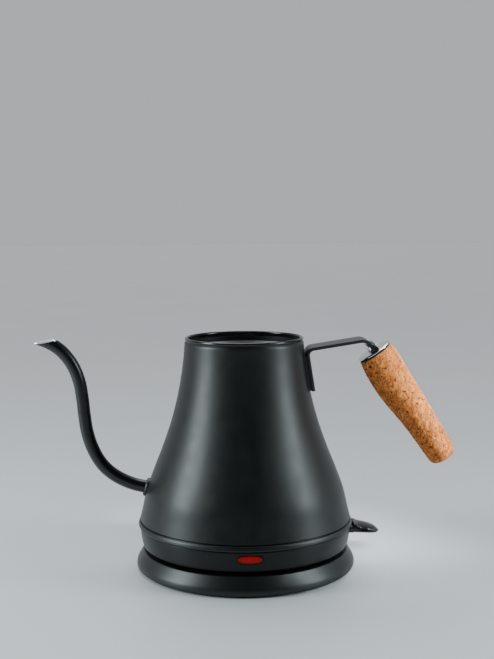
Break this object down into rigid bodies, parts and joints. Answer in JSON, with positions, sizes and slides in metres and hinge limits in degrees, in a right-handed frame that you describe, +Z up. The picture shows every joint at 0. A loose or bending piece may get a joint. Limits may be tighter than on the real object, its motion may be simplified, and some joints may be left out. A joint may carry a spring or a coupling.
{
  "type": "gooseneck kettle",
  "caption": "Electric gooseneck kettle with a tapering black body, thin curved spout, bent strip bracket, slanted cork grip and a round cordless power base.",
  "frame": {"origin": "on the surface the feet stand on, under the centre of the round power base", "axes": "+Z up, -X towards the spout, +X towards the grip and switch lever, -Y towards the indicator lens"},
  "size_m": [0.2894, 0.15, 0.1582],
  "materials": {
    "black_coating": "matte powder coat, soft broad highlights",
    "black_plastic": "fine satin texture",
    "gloss_black_plastic": "polished",
    "cork": "granulated cork with dark flecks, bare",
    "polished_steel": "polished",
    "brass": "bare contact metal",
    "red_lens": "smooth, lit from behind",
    "pale_plastic": "moulded",
    "black_rubber": "matte",
    "brushed_steel": "bare stainless steel"
  },
  "bodies": {
    "power_base": {"base_bottom_cover": "black_plastic", "base_connector_post": "black_plastic", "base_contact_ring": "brass", "base_contact_sleeve": "brass", "base_foot_1": "black_rubber", "base_foot_2": "black_rubber", "base_foot_3": "black_rubber", "base_foot_4": "black_rubber", "base_screw_1": "brushed_steel", "base_screw_2": "brushed_steel", "base_screw_3": "brushed_steel", "base_top": "black_plastic", "cord_gland": "black_rubber"},
    "swivel": {"swivel_ring": "pale_plastic"},
    "kettle": {"bimetal_disc": "brass", "body_shell": "black_coating", "connector_socket": "black_plastic", "control_block": "pale_plastic", "cork_grip": "cork", "cover_screw_1": "brushed_steel", "cover_screw_2": "brushed_steel", "cover_screw_3": "brushed_steel", "element_pin_1": "brushed_steel", "element_pin_2": "brushed_steel", "grip_cap_plate": "polished_steel", "grip_end_plug": "cork", "grip_gasket": "black_rubber", "grip_nut": "brushed_steel", "grip_washer": "brushed_steel", "handle_bracket": "black_coating", "handle_ferrule": "polished_steel", "handle_rod": "brushed_steel", "heater_plate": "brushed_steel", "heating_element": "brushed_steel", "housing_band": "black_plastic", "indicator_lamp": "pale_plastic", "indicator_lens": "red_lens", "kettle_bottom_cover": "black_plastic", "lamp_lead_1": "black_rubber", "lamp_lead_2": "black_rubber", "pivot_pin": "brushed_steel", "shell_seal_ring": "black_rubber", "socket_blade_ring": "brass", "socket_pin": "brass", "spout_collar": "black_coating", "spout_tube": "black_coating", "steam_seal": "black_rubber", "steam_tube": "brushed_steel"},
    "lever": {"switch_lever": "gloss_black_plastic"},
    "plunger": {"contact_plunger": "brass"}
  },
  "joints": [
    {"name": "kettle_swivel", "type": "hinge", "parent": "power_base", "child": "swivel", "pos_m": [0, 0, 0.0125], "axis": [0, 0, 1], "continuous": true},
    {"name": "kettle_lift", "type": "slide", "parent": "swivel", "child": "kettle", "axis": [0, 0, 1], "range_m": [0, 0.12]},
    {"name": "switch_lever_tilt", "type": "hinge", "parent": "kettle", "child": "lever", "pos_m": [0.0635, 0, 0.0242], "axis": [0, -1, 0], "range_deg": [0, 10]},
    {"name": "plunger_travel", "type": "slide", "parent": "kettle", "child": "plunger", "axis": [0, 0, -1], "range_m": [0, 0.0028]}
  ],
  "couplings": [
    {"joint": "plunger_travel", "follows": "switch_lever_tilt", "m_per_rad": 0.015}
  ]
}
